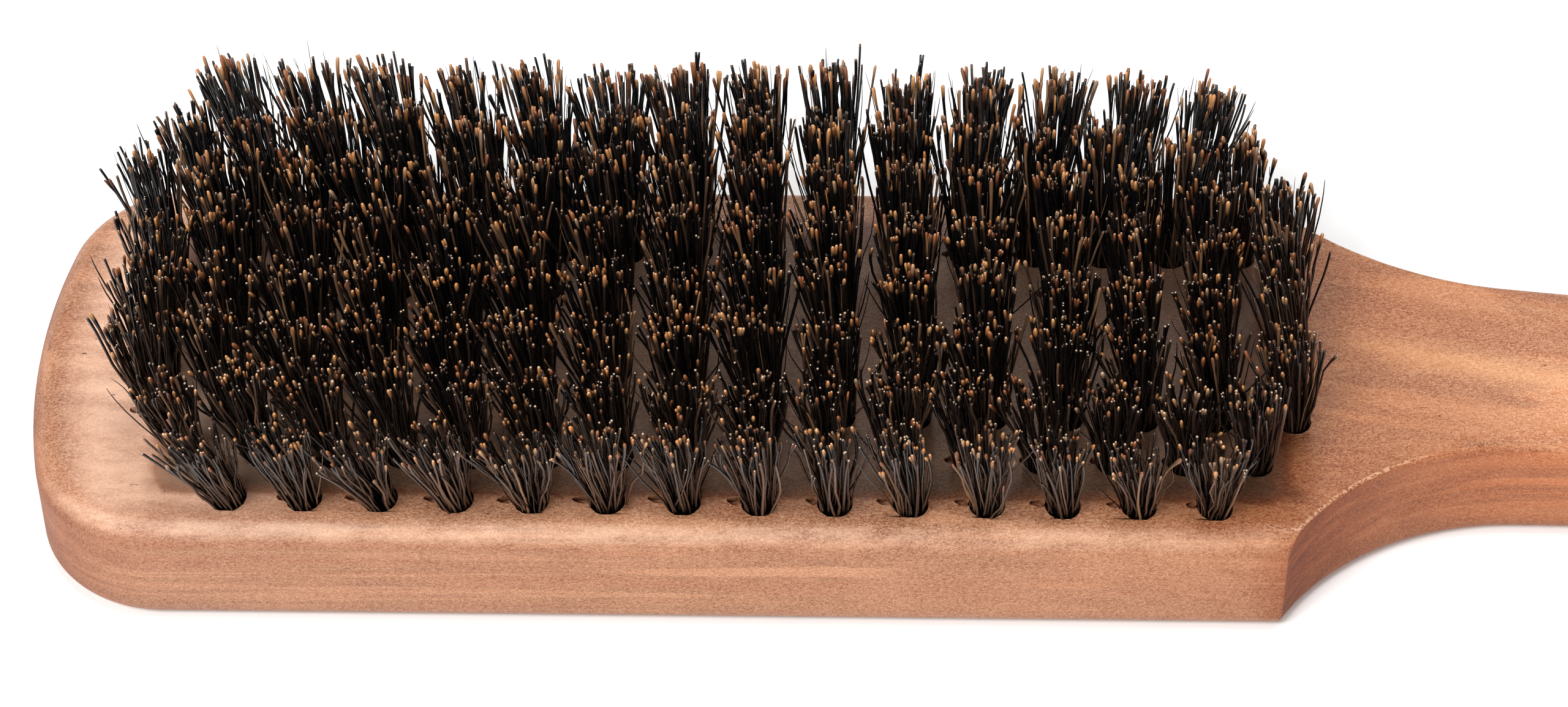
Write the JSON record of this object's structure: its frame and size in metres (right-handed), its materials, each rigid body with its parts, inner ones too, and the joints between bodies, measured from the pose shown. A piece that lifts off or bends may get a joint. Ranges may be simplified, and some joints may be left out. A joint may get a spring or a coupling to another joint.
{
  "type": "body dry brush",
  "caption": "One-piece wooden paddle brush with splayed rows of dark natural bristle tufts held in drilled holes by flat wire anchors.",
  "frame": {"origin": "under the middle of the whole brush, on the flat back it lies on", "axes": "+X along the handle away from the head's tip, +Z out of the bristle side, +Y completes the right-handed frame"},
  "size_m": [0.24, 0.0628, 0.0297],
  "materials": {
    "wood": "fine sanded, satin, unvarnished light hardwood",
    "bristle": "stiff dark boar bristle, glossy shafts with amber cut tips",
    "anchor_wire": "flat drawn wire"
  },
  "bodies": {
    "root": {"brush_body": "wood", "tufts_col_01": "bristle", "tufts_col_02": "bristle", "tufts_col_03": "bristle", "tufts_col_04": "bristle", "tufts_col_05": "bristle", "tufts_col_06": "bristle", "tufts_col_07": "bristle", "tufts_col_08": "bristle", "tufts_col_09": "bristle", "tufts_col_10": "bristle", "tufts_col_11": "bristle", "tufts_col_12": "bristle", "tufts_col_13": "bristle", "tufts_col_14": "bristle", "tufts_col_15": "bristle", "tufts_col_16": "bristle", "anchors_col_01": "anchor_wire", "anchors_col_02": "anchor_wire", "anchors_col_03": "anchor_wire", "anchors_col_04": "anchor_wire", "anchors_col_05": "anchor_wire", "anchors_col_06": "anchor_wire", "anchors_col_07": "anchor_wire", "anchors_col_08": "anchor_wire", "anchors_col_09": "anchor_wire", "anchors_col_10": "anchor_wire", "anchors_col_11": "anchor_wire", "anchors_col_12": "anchor_wire", "anchors_col_13": "anchor_wire", "anchors_col_14": "anchor_wire", "anchors_col_15": "anchor_wire", "anchors_col_16": "anchor_wire"}
  },
  "joints": []
}
